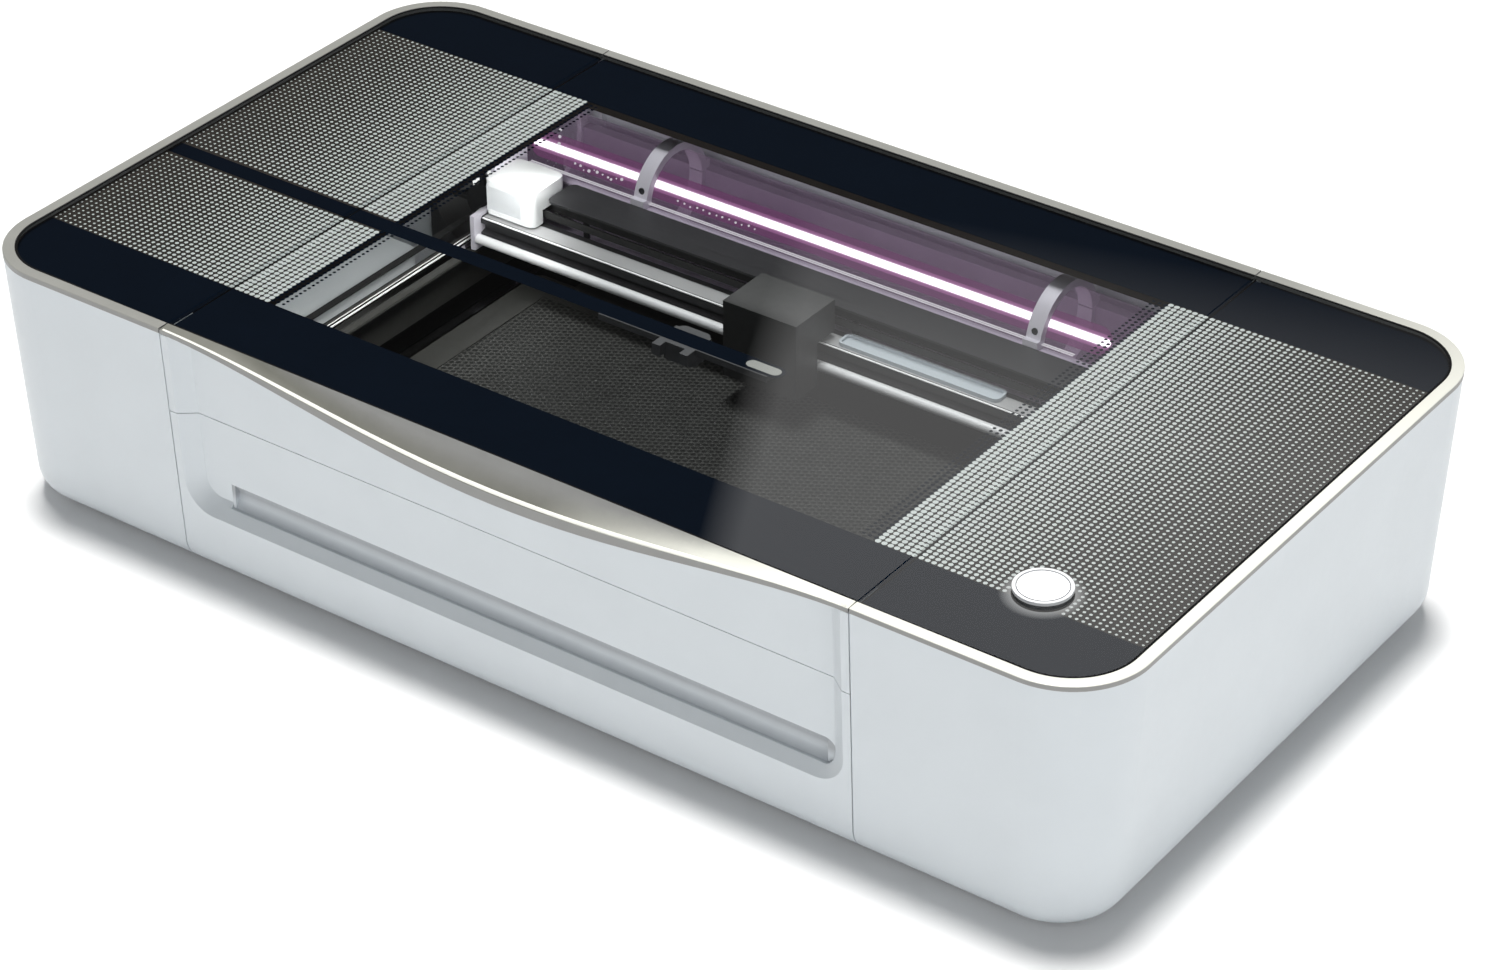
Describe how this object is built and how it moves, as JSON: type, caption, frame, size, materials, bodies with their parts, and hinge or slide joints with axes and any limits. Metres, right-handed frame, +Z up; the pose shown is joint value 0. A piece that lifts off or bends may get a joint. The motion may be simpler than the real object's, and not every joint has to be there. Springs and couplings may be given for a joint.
{
  "type": "desktop laser cutter",
  "caption": "Low rounded desktop laser cutter with a hinged glass lid, drop-down front door, belt-driven gantry carrying its laser tube, focusing head and lift-out honeycomb tray",
  "frame": {"origin": "middle of the footprint at the foot of the rubber feet", "axes": "+X to the right along the width, +Y to the back, +Z up"},
  "size_m": [0.965, 0.527, 0.2123],
  "materials": {
    "case_white": "satin white moulding",
    "pan_grey": "fine matt grey",
    "foot_rubber": "soft rubber",
    "rim_metal": "satin nickel",
    "clear_glass": "clear tempered glass with a printed border",
    "deck_dark": "fine matt dark brown",
    "tub_black": "powder coated black",
    "rail_steel": "polished rail",
    "guide_aluminium": "drawn aluminium",
    "tray_dark": "dark coated steel",
    "comb_dark": "dark honeycomb foil",
    "beam_dark": "black anodised",
    "trough_grey": "grey painted steel",
    "bright_rod": "ground and plated",
    "tube_glass": "clear glass, tinted by the discharge",
    "cap_aluminium": "turned aluminium",
    "clamp_silver": "bead blasted",
    "steel_fastener": "black oxide steel",
    "housing_white": "white moulding",
    "head_dark": "fine dark grey",
    "belt_black": "toothed belt",
    "pulley_aluminium": "turned aluminium",
    "wheel_plastic": "acetal",
    "button_metal": "bright ring",
    "button_light": "lit white lens",
    "motor_black": "laminated steel can",
    "board_green": "circuit board",
    "supply_steel": "plated steel case",
    "tank_plastic": "translucent tank",
    "black_plastic": "moulded black",
    "lens_brass": "turned brass",
    "light_strip": "frosted strip",
    "camera_grey": "grey moulding",
    "tray_clear": "frosted flat cable"
  },
  "bodies": {
    "case": {"base_pan": "pan_grey", "rubber_feet": "foot_rubber", "side_shell_left": "case_white", "side_shell_right": "case_white", "rear_shell": "case_white", "rim_left": "rim_metal", "rim_right": "rim_metal", "glass_left": "clear_glass", "glass_right": "clear_glass", "deck_left": "deck_dark", "deck_right": "deck_dark", "button_ring": "button_metal", "hinge_pins": "bright_rod", "inner_tub": "tub_black", "y_rails": "rail_steel", "tray_guides": "guide_aluminium", "y_motors": "motor_black", "y_belts": "belt_black", "exhaust_duct": "black_plastic", "power_inlet": "black_plastic", "power_supply": "supply_steel", "mainboard": "board_green", "coolant_unit": "tank_plastic"},
    "button": {"button_cap": "button_light"},
    "lid": {"lid_glass": "clear_glass", "lid_front_rim": "rim_metal", "lid_rear_rim": "rim_metal", "lid_fascia": "case_white", "lid_frame": "deck_dark", "lid_camera": "camera_grey", "lid_light": "light_strip"},
    "door": {"front_door": "case_white", "slot_shutter": "case_white"},
    "tray": {"crumb_tray": "tray_dark", "honeycomb_bed": "comb_dark"},
    "y_drivers": {"y_drive_pulleys": "pulley_aluminium"},
    "y_idlers": {"y_idler_pulleys": "pulley_aluminium"},
    "gantry": {"gantry_trough": "trough_grey", "x_beam": "beam_dark", "x_guide_rod": "bright_rod", "gantry_cover": "beam_dark", "gantry_end_plates": "clamp_silver", "cable_tray": "tray_clear", "laser_jacket": "tube_glass", "discharge_tube": "tube_glass", "tube_end_caps": "cap_aluminium", "tube_clamps": "clamp_silver", "clamp_screws": "steel_fastener", "mirror_housing": "housing_white", "x_motor": "motor_black", "x_belt": "belt_black"},
    "wheels_front": {"gantry_wheels_front": "wheel_plastic"},
    "wheels_back": {"gantry_wheels_back": "wheel_plastic"},
    "x_driver": {"x_drive_pulley": "pulley_aluminium"},
    "x_idler": {"x_idler_pulley": "pulley_aluminium"},
    "carriage": {"head_shell": "head_dark", "carriage_block": "cap_aluminium"},
    "lens": {"lens_barrel": "lens_brass"},
    "exhaust_fan": {"exhaust_rotor": "black_plastic"},
    "rocker": {"power_rocker": "black_plastic"}
  },
  "joints": [
    {"name": "lid_hinge", "type": "hinge", "parent": "case", "child": "lid", "pos_m": [0, 0.2613, 0.2055], "axis": [-1, 0, 0], "range_deg": [0, 70]},
    {"name": "door_hinge", "type": "hinge", "parent": "case", "child": "door", "pos_m": [0, -0.237, 0.034], "axis": [1, 0, 0], "range_deg": [0, 90]},
    {"name": "gantry_slide", "type": "slide", "parent": "case", "child": "gantry", "axis": [0, 1, 0], "range_m": [-0.279, 0.002]},
    {"name": "head_slide", "type": "slide", "parent": "gantry", "child": "carriage", "axis": [1, 0, 0], "range_m": [-0.208, 0.262]},
    {"name": "focus_slide", "type": "slide", "parent": "carriage", "child": "lens", "axis": [0, 0, 1], "range_m": [-0.006, 0.006]},
    {"name": "tray_lift", "type": "slide", "parent": "case", "child": "tray", "axis": [0, 0, 1], "range_m": [0, 0.008]},
    {"name": "start_button", "type": "slide", "parent": "case", "child": "button", "axis": [0, 0, -1], "range_m": [0, 0.0015], "stiffness_N_per_m": 600},
    {"name": "power_rocker_tilt", "type": "hinge", "parent": "case", "child": "rocker", "pos_m": [0.4135, 0.248, 0.06], "axis": [1, 0, 0], "range_deg": [-8, 8]},
    {"name": "exhaust_spin", "type": "hinge", "parent": "case", "child": "exhaust_fan", "pos_m": [-0.397, 0.236, 0.058], "axis": [0, 1, 0], "continuous": true},
    {"name": "y_driver_spin", "type": "hinge", "parent": "case", "child": "y_drivers", "pos_m": [0, -0.228, 0.1], "axis": [1, 0, 0], "continuous": true},
    {"name": "y_idler_spin", "type": "hinge", "parent": "case", "child": "y_idlers", "pos_m": [0, 0.236, 0.1], "axis": [1, 0, 0], "continuous": true},
    {"name": "front_wheel_spin", "type": "hinge", "parent": "gantry", "child": "wheels_front", "pos_m": [0, 0.121, 0.115], "axis": [1, 0, 0], "continuous": true},
    {"name": "back_wheel_spin", "type": "hinge", "parent": "gantry", "child": "wheels_back", "pos_m": [0, 0.236, 0.115], "axis": [1, 0, 0], "continuous": true},
    {"name": "x_driver_spin", "type": "hinge", "parent": "gantry", "child": "x_driver", "pos_m": [-0.282, 0.1316, 0.137], "axis": [0, 0, 1], "continuous": true},
    {"name": "x_idler_spin", "type": "hinge", "parent": "gantry", "child": "x_idler", "pos_m": [0.288, 0.1316, 0.137], "axis": [0, 0, 1], "continuous": true}
  ],
  "couplings": [
    {"joint": "y_driver_spin", "follows": "gantry_slide", "rad_per_m": -142.86},
    {"joint": "y_idler_spin", "follows": "gantry_slide", "rad_per_m": -142.86},
    {"joint": "front_wheel_spin", "follows": "gantry_slide", "rad_per_m": -112.36},
    {"joint": "back_wheel_spin", "follows": "gantry_slide", "rad_per_m": -112.36},
    {"joint": "x_driver_spin", "follows": "head_slide", "rad_per_m": 200},
    {"joint": "x_idler_spin", "follows": "head_slide", "rad_per_m": 200}
  ]
}
